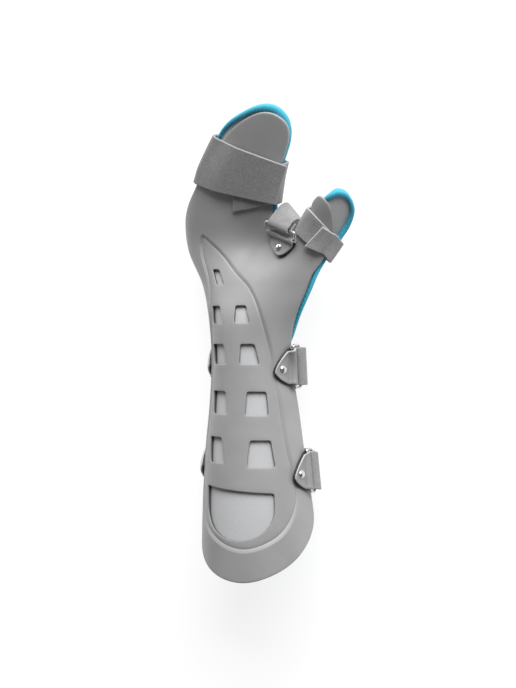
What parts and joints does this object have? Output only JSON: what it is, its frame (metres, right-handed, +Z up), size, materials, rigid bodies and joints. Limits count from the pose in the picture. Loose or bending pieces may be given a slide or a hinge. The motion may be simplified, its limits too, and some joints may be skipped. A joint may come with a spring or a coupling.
{
  "type": "wrist brace",
  "caption": "Right-hand wrist and hand resting splint: moulded grey plastic shell with vent windows, bound foam liner and velour straps on riveted wire rings.",
  "frame": {"origin": "middle of the whole in plan, on the surface that it rests on", "axes": "+X to the thumb side, +Y along the limb to the fingertips, +Z up, out of the palm face of the shell"},
  "size_m": [0.1476, 0.3478, 0.0827],
  "materials": {
    "shell": "satin moulded plastic",
    "liner": "brushed cloth over foam",
    "binding": "stretch cloth rolled edge",
    "strap": "velour loop strap",
    "tab": "satin vinyl strip",
    "metal": "polished nickel plate"
  },
  "bodies": {
    "root": {"shell": "shell", "pad": "liner", "pad_binding": "binding", "palm_tab": "tab", "palm_ring": "metal", "palm_rivet": "metal", "wrist_radial_tab": "tab", "wrist_radial_ring": "metal", "wrist_radial_rivet": "metal", "wrist_ulnar_tab": "tab", "wrist_ulnar_ring": "metal", "wrist_ulnar_rivet": "metal", "forearm_radial_tab": "tab", "forearm_radial_ring": "metal", "forearm_radial_rivet": "metal", "forearm_ulnar_tab": "tab", "forearm_ulnar_ring": "metal", "forearm_ulnar_rivet": "metal", "finger_strap": "strap", "thumb_strap": "strap", "web_strap": "strap", "wrist_strap": "strap", "forearm_strap": "strap", "web_strap_rivet": "metal"}
  },
  "joints": []
}
